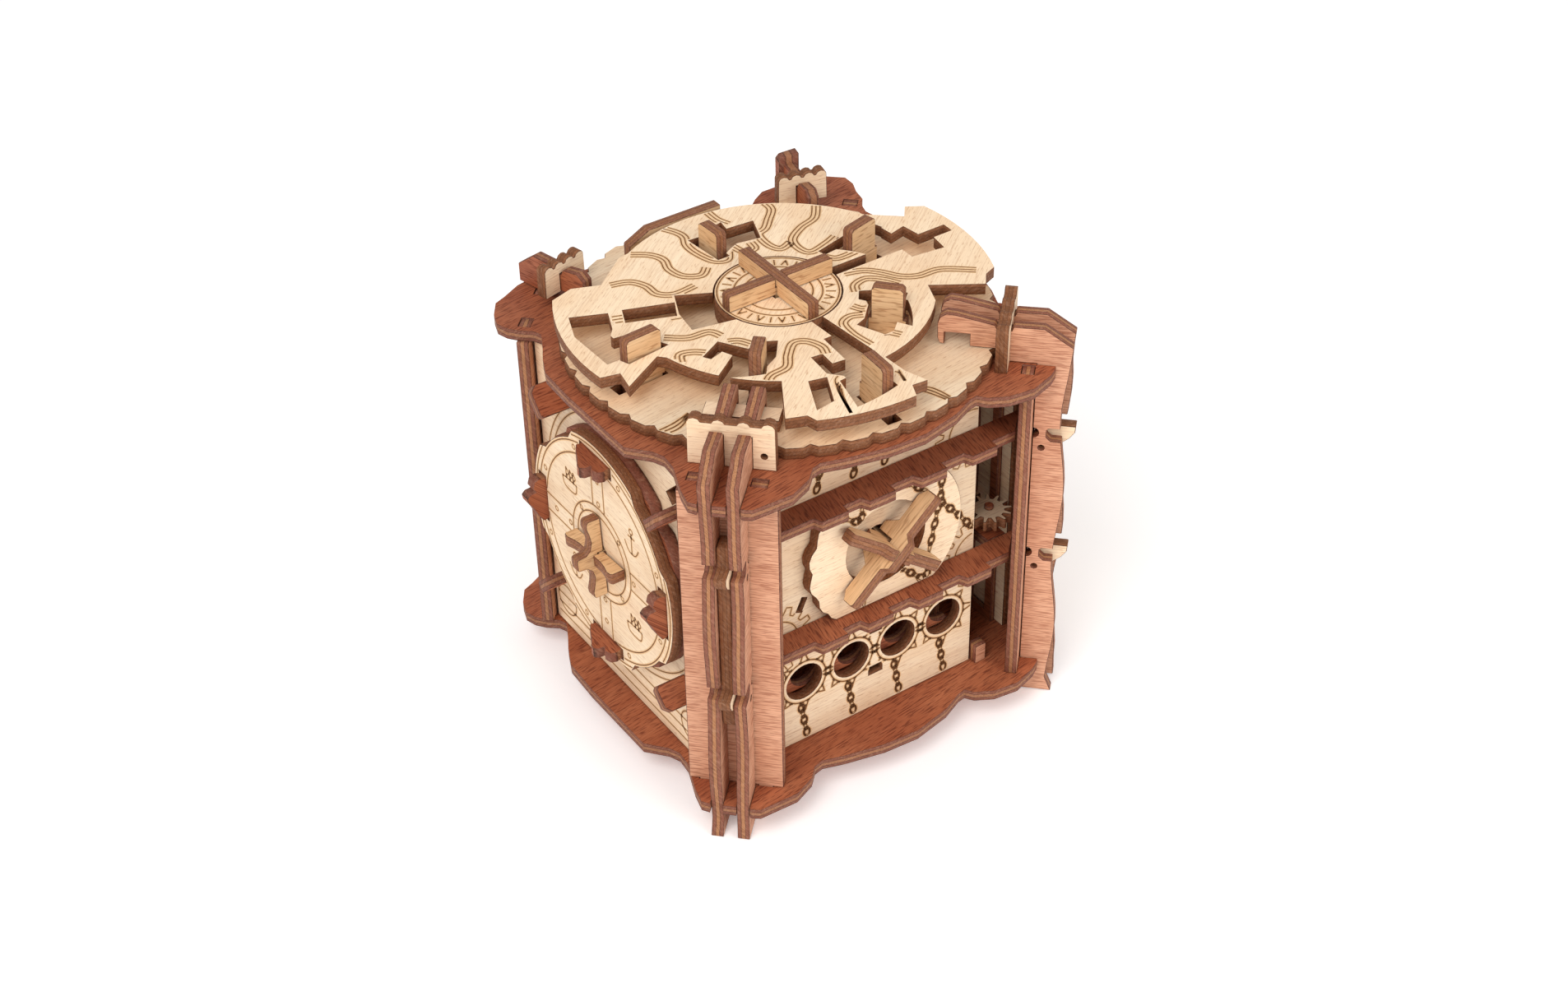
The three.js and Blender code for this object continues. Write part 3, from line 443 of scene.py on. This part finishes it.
def make_bay_wheel():
    """A small toothed wheel on a pin in the gear bay, beside the end of the front panel."""
    centre, shelf_top, wheel_base = (49.5, -50.2), 49.9, 54.6
    tip, root, pin, teeth = 7.9, 5.4, 1.6, 13
    profile = []
    for i in range(teeth):
        for radius, turn in ((root, -0.34), (tip, -0.13), (tip, 0.13), (root, 0.34)):
            profile.append(polar(radius, (i + turn) * 360.0 / teeth, centre))
    plane = ((1, 0, 0), (0, 1, 0))
    trim_plate("bay_wheel", profile, (0, 0, wheel_base), *plane, PLY, "birch_ply")
    round_pin = [polar(pin, 30.0 * i, centre) for i in range(12)]
    gap = 0.05
    pin_height = wheel_base - shelf_top - gap
    trim_plate("bay_wheel_pin", round_pin, (0, 0, shelf_top), *plane, pin_height, "tan_ply")
    trim_plate("bay_wheel_cap", round_pin, (0, 0, wheel_base + PLY + gap), *plane, 1.6, "mahogany_ply")
    tongue = [(45.5, -55.3), (53.0, -55.3), (53.0, -47.0), (45.5, -47.0)]
    trim_plate("bay_wheel_tongue", tongue, (0, 0, shelf_top - PLY), *plane, PLY - gap, "mahogany_ply")


def make_bay_block():
    """A low block standing on the floor plate against the end of the front panel."""
    profile = [(40.0, 0.1), (44.5, 0.1), (44.5, 7.5), (40.0, 7.5)]
    trim_plate("bay_block", profile, (0, -54.0, 0), (1, 0, 0), (0, 0, 1), PLY, "rose_ply")


make_rear_rail()
make_bay_wheel()
make_bay_block()


# ---- laser-engraved lines ----
LINE = 0.38        # width of an engraved line, mm
FINE = 0.36        # the same for the links of a chain
BOLD = 0.55        # the same for claw strokes and porthole collars
PROUD = 0.035      # its dark skin stands this far off the plate, mm
SUNK = 0.05
STAIN = 0.75       # smoke stains the wood this much wider than the line, mm
STAIN_PROUD = 0.015
CLEAR = 0.15       # a line stops this far short of the plate's edge, mm
STEP = 0.9         # spacing of the points along a line, mm


def smooth_curve(points, closed=False):
    """Points along a Catmull-Rom curve through the given ones."""
    count = len(points)
    out = []
    for i in range(count if closed else count - 1):
        if closed:
            p0, p1, p2, p3 = (Vector(points[(i + k) % count]) for k in (-1, 0, 1, 2))
        else:
            p0, p1, p2, p3 = (Vector(points[min(max(i + k, 0), count - 1)]) for k in (-1, 0, 1, 2))
        steps = max(1, round((p2 - p1).length / STEP))
        for j in range(steps):
            t = j / steps
            out.append(0.5 * (
                2 * p1 + (p2 - p0) * t + (2 * p0 - 5 * p1 + 4 * p2 - p3) * t ** 2
                + (3 * p1 - p0 - 3 * p2 + p3) * t ** 3
            ))
    if not closed:
        out.append(Vector(points[-1]))
    return out


def straight_line(points, closed=False):
    """Points along straight runs between the given ones."""
    ring = list(points) + ([points[0]] if closed else [])
    out = []
    for first, last in zip(ring, ring[1:]):
        p, q = Vector(first), Vector(last)
        steps = max(1, round((q - p).length / STEP))
        out += [p.lerp(q, j / steps) for j in range(steps)]
    if not closed:
        out.append(Vector(ring[-1]))
    return out


def sideways(path, closed):
    """The unit normal of a path at each of its points."""
    count = len(path)
    normals = []
    for i in range(count):
        if closed:
            tangent = path[(i + 1) % count] - path[i - 1]
        else:
            tangent = path[min(i + 1, count - 1)] - path[max(i - 1, 0)]
        tangent.normalize()
        normals.append(Vector((-tangent.y, tangent.x)))
    return normals


class Engraving:
    """Lines on one face of a plate, drawn in millimetres in that face's own plane.

    The lines are thin closed strips, kept only where the plate is under them.
    """

    def __init__(self, node, origin, across, up):
        self.node = node
        self.origin = Vector(origin)
        self.across = Vector(across)
        self.up = Vector(up)
        self.normal = self.across.cross(self.up)
        mesh = frame["nodes"][node].data
        corners = [vertex.co for vertex in mesh.vertices]
        self.tree = BVHTree.FromPolygons(corners, [polygon.vertices for polygon in mesh.polygons])
        self.points = []
        self.faces = []
        self.stained = []

    def place(self, spot, height):
        return at(*(self.origin + self.across * spot[0] + self.up * spot[1] + self.normal * height))

    def covered(self, spot):
        hit = self.tree.ray_cast(self.place(spot, 1.0), -self.normal, 2.0 * MM)
        return hit[0] is not None and abs(hit[3] / MM - 1.0) < 0.1

    def strip(self, centres, normals, width, closed, stain):
        first = len(self.points)
        height = STAIN_PROUD if stain else PROUD
        for centre, normal in zip(centres, normals):
            side = normal * (width / 2)
            self.points += [
                self.place(centre + side, height), self.place(centre - side, height),
                self.place(centre - side, -SUNK), self.place(centre + side, -SUNK),
            ]
        count = len(centres)
        for i in range(count if closed else count - 1):
            a, b = first + 4 * i, first + 4 * ((i + 1) % count)
            self.faces += [(a + k, a + (k + 1) % 4, b + (k + 1) % 4, b + k) for k in range(4)]
        if not closed:
            last = first + 4 * (count - 1)
            self.faces.append((first + 3, first + 2, first + 1, first))
            self.faces.append((last, last + 1, last + 2, last + 3))
        self.stained += [int(stain)] * (len(self.faces) - len(self.stained))

    def path(self, centres, closed=False, width=LINE):
        self.trace(centres, closed, width, False)
        self.trace(centres, closed, width + STAIN, True)

    def trace(self, centres, closed, width, stain):
        """One strip along a path, broken wherever the plate stops."""
        normals = sideways(centres, closed)
        margin = width / 2 + CLEAR
        kept = [
            self.covered(centre + normal * margin) and self.covered(centre - normal * margin)
            for centre, normal in zip(centres, normals)
        ]
        if closed and all(kept):
            self.strip(centres, normals, width, True, stain)
            return
        if closed:
            start = kept.index(False)
            centres = centres[start:] + centres[:start]
            normals = normals[start:] + normals[:start]
            kept = kept[start:] + kept[:start]
        run = []
        for i, good in enumerate(kept + [False]):
            if good:
                run.append(i)
                continue
            if len(run) > 1:
                self.strip([centres[j] for j in run], [normals[j] for j in run], width, False, stain)
            run = []

    def curve(self, points, closed=False, width=LINE):
        self.path(smooth_curve(points, closed), closed, width)

    def line(self, points, closed=False, width=LINE):
        self.path(straight_line(points, closed), closed, width)

    def circle(self, centre, radius, width=LINE):
        self.arc(centre, radius, 0.0, 360.0, width)

    def arc(self, centre, radius, start, stop, width=LINE):
        whole = abs(stop - start) >= 360.0
        steps = max(8, round(math.radians(abs(stop - start)) * radius / STEP))
        count = steps if whole else steps + 1
        turn = (stop - start) / steps
        points = [Vector(polar(radius, start + turn * i, centre)) for i in range(count)]
        self.path(points, whole, width)

    def braid(self, points, spacing=1.35):
        """Three parallel lines along a smooth curve."""
        centres = smooth_curve(points)
        normals = sideways(centres, False)
        for shift in (-spacing, 0.0, spacing):
            self.path([c + n * shift for c, n in zip(centres, normals)])

    def chain(self, start, end, pitch=2.9):
        """Oval links seen alternately from the front, as rings, and from the side."""
        broad, narrow, thickness, reach, steps = 1.45, 0.55, 0.62, pitch * 0.72, 12
        begin, finish = Vector(start), Vector(end)
        run = finish - begin
        count = max(2, round(run.length / pitch))
        along = run.normalized()
        beside = Vector((-along.y, along.x))
        for i in range(count):
            centre = begin + run * ((i + 0.5) / count)
            in_front = i % 2 == 0
            half_width = broad if in_front else narrow
            for inset in (0.0, thickness) if in_front else (0.0,):
                ring = []
                for step in range(steps):
                    angle = math.tau * step / steps
                    ring.append(
                        centre + along * math.cos(angle) * (reach - inset)
                        + beside * math.sin(angle) * (half_width - inset)
                    )
                self.path(ring, True, FINE)

    def gear(self, centre, radius, teeth, start=0.0, stop=360.0):
        """A toothed wheel with a ring inside it."""
        points = []
        step = 360.0 / teeth
        root, tip = radius - 1.6, radius + 1.3
        for i in range(teeth):
            middle = i * step
            if not start <= middle <= stop:
                continue
            for reach, turn in ((root, -0.34), (tip, -0.2), (tip, 0.2), (root, 0.34)):
                points.append(polar(reach, middle + turn * step, centre))
        self.line(points, closed=stop - start >= 360.0)
        self.arc(centre, radius - 4.2, start, stop)

    def build(self):
        name = self.node + "_engraving"
        mesh = bpy.data.meshes.new(name)
        mesh.from_pydata(self.points, [], self.faces)
        mesh.materials.append(ENGRAVED)
        mesh.materials.append(SMOKED)
        mesh.polygons.foreach_set("material_index", self.stained)
        piece = bpy.data.objects.new(name, mesh)
        bpy.context.collection.objects.link(piece)
        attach(piece, BODY_OF[self.node])


RIGHT, AWAY, TOP = (1, 0, 0), (0, 1, 0), (0, 0, 1)
MAZE_TOP = (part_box("maze_disc")[1].z - ORIGIN.z) / MM
RING_TOP = (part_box("scallop_disc")[1].z - ORIGIN.z) / MM
PANEL_FRONT = (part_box("front_panel")[0].y - ORIGIN.y) / MM
SHIELD_FRONT = (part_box("front_shield")[0].y - ORIGIN.y) / MM
PANEL_LEFT = (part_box("left_panel")[0].x - ORIGIN.x) / MM
PANEL_RIGHT = (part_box("right_panel")[1].x - ORIGIN.x) / MM
PANEL_BACK = (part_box("back_panel")[1].y - ORIGIN.y) / MM
DIAL_LEFT = (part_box("compass_dial")[0].x - ORIGIN.x) / MM
WHEEL = Vector(JOINTS["compass_turn"]["pos_m"]) - ORIGIN


def engrave_maze():
    """Waves of three lines that wander between the slots of the maze disc."""
    sheet = Engraving("maze_disc", (0, 0, MAZE_TOP), RIGHT, AWAY)
    waves = [
        [(-10, 54), (-7.5, 49), (-7, 45), (-9, 40), (-9, 34), (-7, 27), (-3, 25), (0, 29)],
        [(-27, 46), (-22, 42), (-20, 37), (-21.5, 31), (-20, 25), (-15, 22), (-11, 25)],
        [(-42, 34), (-36, 32), (-33, 27), (-32.5, 21), (-28, 17.5), (-20, 18)],
        [(8, 54), (8, 48), (9.5, 43.5)],
        [(27, 48), (26.5, 43), (22, 38), (18, 34), (14, 32), (13, 25), (15, 20.5), (20, 22)],
        [(40, 36), (35, 30), (28, 27.5), (21.5, 23), (20, 17), (22, 13), (29, 14.5), (34, 16.5)],
        [(3, 31), (4, 26.5), (8, 25.5), (9, 29.5)],
        [(36, 5), (27, 4.8), (24, 8)],
        [(23, -4), (29, -6), (33, -10), (37, -16), (42, -19), (50, -20), (59, -27)],
        [(20, -15), (22, -11.5), (27, -10.5), (31, -14), (34, -19)],
        [(-44, -1.5), (-38, -6), (-31, -7), (-29, -11)],
        [(-47, -16), (-45, -12.5), (-41, -13.5), (-38, -16)],
        [(-29, -15), (-26, -16.5), (-24, -20)],
        [(-39, -32), (-36, -28.5), (-33, -29)],
        [(-31, -40), (-28, -38), (-22, -37), (-18, -32), (-13, -27.5), (-9, -29), (-7, -34), (-8, -38)],
        [(6, -42), (5, -34), (6, -27.5), (10, -25.5), (14, -27)],
        [(14, -21), (15.5, -24), (18, -25)],
        [(17, -43), (15, -40), (13, -39)],
    ]
    for wave in waves:
        sheet.braid(wave)
    for stroke in (0, 1, 2, 3):
        sheet.curve([(-12 - stroke, -50 - 2 * stroke), (-15 - stroke, -53 - 3 * stroke), (-20, -68)])
    sheet.curve([(2, -57), (4, -59), (3, -64), (5, -58)])
    bridges = (((-51.5, 17.5), (-48.5, 13.5)), ((-36, 9.5), (-33.5, 4)))
    for first, last in bridges:
        middle = (Vector(first) + Vector(last)) / 2
        for k in (-1, 0, 1):
            low = middle + Vector((-2.0, k * 1.9 + 0.8))
            sheet.line([tuple(low), tuple(low + Vector((4.0, -1.4)))])
    sheet.build()


def engrave_dial():
    """Two rings with plain ticks and chevrons between them."""
    sheet = Engraving("centre_dial", (0, 0, MAZE_TOP), RIGHT, AWAY)
    inner, outer, hub = 14.3, 19.6, 11.2
    sheet.circle((0, 0), inner)
    sheet.circle((0, 0), outer)
    sheet.circle((0, 0), hub)
    count = 30
    for i in range(count):
        angle = 360.0 * i / count
        if i % 2:
            sheet.line([polar(inner + 1.0, angle), polar(outer - 1.1, angle)])
        else:
            wing = 4.0
            feet = [polar(inner + 1.0, angle + turn) for turn in (-wing, wing)]
            sheet.line([feet[0], polar(outer - 1.1, angle), feet[1]])
    sheet.build()


def engrave_ring():
    """Claw strokes on the scalloped ring."""
    sheet = Engraving("scallop_disc", (0, 0, RING_TOP), RIGHT, AWAY)
    for spread in (-1.6, 0.0, 1.6):
        left = [(-52, -28 + spread * 0.4), (-59, -31 + spread), (-68, -31 + spread * 0.6)]
        right = [(9 + spread, -54), (15 + spread, -60), (18 + spread * 0.5, -70)]
        sheet.curve(left, width=BOLD)
        sheet.curve(right, width=BOLD)
    sheet.build()


def star_collar(sheet, centre, radius, width):
    """A ring around a round hole, with long and short points by turns."""
    long, short, half_angle, points = 4.6, 2.8, 11, 8
    sheet.circle(centre, radius, width)
    for i in range(points):
        angle = 360.0 * i / points
        tip = radius + (long if i % 2 == 0 else short)
        feet = [polar(radius, angle + turn, centre) for turn in (-half_angle, half_angle)]
        sheet.line([feet[0], polar(tip, angle, centre), feet[1]], width=width)


def engrave_front():
    """Porthole collars with star points, chains and gears on the front panel."""
    sheet = Engraving("front_panel", (0, PANEL_FRONT, 0), RIGHT, TOP)
    pitch, offset, height, collar = 18.9, -0.9, 25.5, 8.6
    for k in (-1.5, -0.5, 0.5, 1.5):
        centre = (k * pitch + offset, height)
        star_collar(sheet, centre, collar, BOLD)
        sheet.chain((centre[0] - 1.5, height - collar - 1.0), (centre[0] + 1.0, 1.5))
    shelf_top = 101.0
    for across in (-33.0, -24.0, -10.0, 2.0):
        sheet.chain((across, shelf_top), (across + 3.0, shelf_top + 16.0))
    sheet.gear((36, 99), 12.5, 16)
    sheet.gear((14, 122), 12.5, 16)
    sheet.gear((-40, 47), 12.5, 16)
    sheet.gear((40, 48), 12.5, 16)
    sheet.chain((31.5, 68), (39, 58.5))
    sheet.build()


def engrave_shield():
    """Chains draped over the shield."""
    sheet = Engraving("front_shield", (0, SHIELD_FRONT, 0), RIGHT, TOP)
    drapes = (
        ((-9.5, 95), (-9.5, 82.5)), ((-18, 91), (-8, 84)), ((7, 94), (16, 86.5)),
        ((22.5, 95), (21.5, 80.5)), ((21, 80.5), (30.5, 69.5)), ((21, 79), (17.5, 61)),
        ((5, 60.5), (15.5, 50.5)), ((17, 60), (17, 50.5)), ((-8.5, 57), (-8.5, 50.5)),
    )
    for start, end in drapes:
        sheet.chain(start, end)
    sheet.build()


def small_ship(sheet, centre, size):
    """A plain hull with three masts."""
    x, z = centre
    sheet.curve([(x - size, z), (x - size * 0.7, z - size * 0.75), (x + size * 0.7, z - size * 0.75),
                 (x + size * 0.95, z + size * 0.1)])
    sheet.line([(x - size, z), (x + size * 0.95, z + size * 0.1)])
    for k in (-0.45, 0.05, 0.5):
        foot, head = (x + k * size, z), (x + k * size, z + size)
        sheet.line([foot, head])
        sheet.curve([head, (head[0] + size * 0.35, z + size * 0.6), (foot[0] + 0.1, z + size * 0.25)])


def small_anchor(sheet, centre, size):
    x, z = centre
    sheet.circle((x, z + size * 0.95), size * 0.22)
    sheet.line([(x, z + size * 0.7), (x, z - size)])
    sheet.line([(x - size * 0.45, z + size * 0.45), (x + size * 0.45, z + size * 0.45)])
    sheet.curve([(x - size * 0.9, z - size * 0.2), (x - size * 0.5, z - size * 0.85), (x, z - size),
                 (x + size * 0.5, z - size * 0.85), (x + size * 0.9, z - size * 0.2)])


def engrave_wheel():
    """Rings, rivets and spokes on the compass wheel, with ships and an anchor between them."""
    sheet = Engraving("compass_dial", (DIAL_LEFT, WHEEL.y / MM, WHEEL.z / MM), (0, -1, 0), TOP)
    inner, second, third, rim = 14.8, 17.9, 34.8, 39.2
    for radius in (inner, second, third, rim, rim + 2.2):
        sheet.circle((0, 0), radius, 0.42)
    for quarter in (0, 90, 180, 270):
        sheet.circle(polar(16.3, quarter + 45), 0.8, 0.3)
        for turn in (-21.5, 21.5):
            sheet.circle(polar(37.0, quarter + turn), 0.9, 0.3)
        along = Vector(polar(1.0, quarter))
        beside = Vector((-along.y, along.x))
        for side in (-3.5, 3.5):
            sheet.line([tuple(along * second + beside * side), tuple(along * third + beside * side)])
        for radius in (second + 1.8, third - 6.0):
            sheet.circle(tuple(along * radius), 0.9, 0.3)
    small_ship(sheet, (-18.1, 18.0), 4.6)
    small_ship(sheet, (18.6, -18.8), 4.6)
    small_anchor(sheet, (19.9, 17.0), 4.6)
    small_anchor(sheet, (-18.5, -17.5), 4.6)
    sheet.build()


def planks(sheet, heights):
    """Level lines right across an upright panel."""
    reach = 46
    for height in heights:
        sheet.line([(-reach, height), (reach, height)])


def engrave_left():
    """Hoops around the wheel and planks across the lower part of the left panel."""
    centre = (-WHEEL.y / MM, WHEEL.z / MM)
    sheet = Engraving("left_panel", (PANEL_LEFT, 0, 0), (0, -1, 0), TOP)
    for radius in (45.5, 48.2):
        sheet.arc(centre, radius, 190, 350)
        sheet.arc(centre, radius, 100, 170)
    planks(sheet, (4.0, 8.5, 13.0))
    for corner in (-40.0, 40.0):
        sheet.arc((corner, 12.0), 6.0, 0, 360)
    sheet.build()


def engrave_right():
    """Collars around the windows, a gear and a hooped keyhole between plank lines."""
    sheet = Engraving("right_panel", (PANEL_RIGHT, 0, 0), (0, 1, 0), TOP)
    for across in (-14.0, 14.0):
        star_collar(sheet, (across, 88.0), 8.2, 0.5)
    sheet.gear((0.0, 64.0), 9.0, 12)
    for radius in (17.0, 19.6):
        sheet.circle((0.0, 35.0), radius)
    planks(sheet, (4.0, 8.5, 13.0, 106.0, 110.5))
    sheet.chain((-34.0, 102.0), (-32.0, 70.0))
    sheet.chain((34.0, 102.0), (32.0, 70.0))
    sheet.build()


def engrave_back():
    """Collars around the vents and plank lines above the drawer."""
    sheet = Engraving("back_panel", (0, PANEL_BACK, 0), (-1, 0, 0), TOP)
    for across in (-20.0, 0.0, 20.0):
        star_collar(sheet, (across, 74.0), 6.4, 0.5)
    planks(sheet, (46.0, 50.5, 55.0, 97.0, 101.5, 106.0))
    sheet.build()


engrave_maze()
engrave_dial()
engrave_ring()
engrave_front()
engrave_shield()
engrave_wheel()
engrave_left()
engrave_right()
engrave_back()


# ---- floor, light and camera ----
def make_floor():
    size, gap = 6.0, 0.2 * MM
    mesh = bpy.data.meshes.new("floor")
    corners = [(-size, -size, 0.0), (size, -size, 0.0), (size, size, 0.0), (-size, size, 0.0)]
    mesh.from_pydata(corners, [], [(0, 1, 2, 3)])
    floor = bpy.data.objects.new("floor", mesh)
    floor.location.z = CAD_BOUNDS[0].z - gap
    bpy.context.collection.objects.link(floor)
    material = bpy.data.materials.new("floor_paper")
    material.use_nodes = True
    shader = material.node_tree.nodes["Principled BSDF"]
    shader.inputs["Base Color"].default_value = (1.0, 0.995, 0.995, 1.0)
    shader.inputs["Emission Color"].default_value = (1.0, 0.98, 0.98, 1.0)
    shader.inputs["Emission Strength"].default_value = 0.2
    shader.inputs["Roughness"].default_value = 0.9
    shader.inputs["Specular IOR Level"].default_value = 0.1
    mesh.materials.append(material)


def soft_light(name, location, target, size, power, colour=(1.0, 1.0, 1.0)):
    data = bpy.data.lights.new(name, "AREA")
    data.shape = "DISK"
    data.size = size
    data.energy = power
    data.color = colour
    light = bpy.data.objects.new(name, data)
    light.location = location
    light.rotation_euler = (target - Vector(location)).to_track_quat("-Z", "Y").to_euler()
    bpy.context.collection.objects.link(light)


def make_light():
    world = bpy.data.worlds.new("studio")
    bpy.context.scene.world = world
    world.use_nodes = True
    background = world.node_tree.nodes["Background"]
    background.inputs["Color"].default_value = (1.0, 0.99, 0.985, 1.0)
    background.inputs["Strength"].default_value = 0.62
    target = at(0, 0, 60)
    soft_light("key", at(-900, -500, 1300), target, 0.9, 11.6, (1.0, 0.985, 0.965))
    soft_light("front", at(300, -1300, 700), target, 0.9, 5.8, (1.0, 0.98, 0.96))


def make_camera():
    """The camera of the photograph, from its fitted direction, distance and lens."""
    azimuth, elevation, roll = math.radians(-33.70), math.radians(37.24), math.radians(-1.03)
    distance = 0.8337
    target = at(0, 0, 60)
    level = math.cos(elevation)
    back = Vector((math.sin(azimuth) * level, -math.cos(azimuth) * level, math.sin(elevation)))
    right = (-back).cross(Vector((0, 0, 1))).normalized()
    up = right.cross(-back).normalized()
    rolled_right = right * math.cos(roll) + up * math.sin(roll)
    rolled_up = up * math.cos(roll) - right * math.sin(roll)
    data = bpy.data.cameras.new("camera")
    data.sensor_width = 36.0
    data.lens = 56.6
    data.shift_x = 0.0016
    data.shift_y = -0.0069
    data.clip_end = 50.0
    camera = bpy.data.objects.new("camera", data)
    turn = Matrix((rolled_right, rolled_up, back)).transposed().to_4x4()
    camera.matrix_world = Matrix.Translation(target + back * distance) @ turn
    bpy.context.collection.objects.link(camera)
    bpy.context.scene.camera = camera


make_floor()
make_light()
make_camera()
bpy.context.scene.view_settings.view_transform = "Standard"
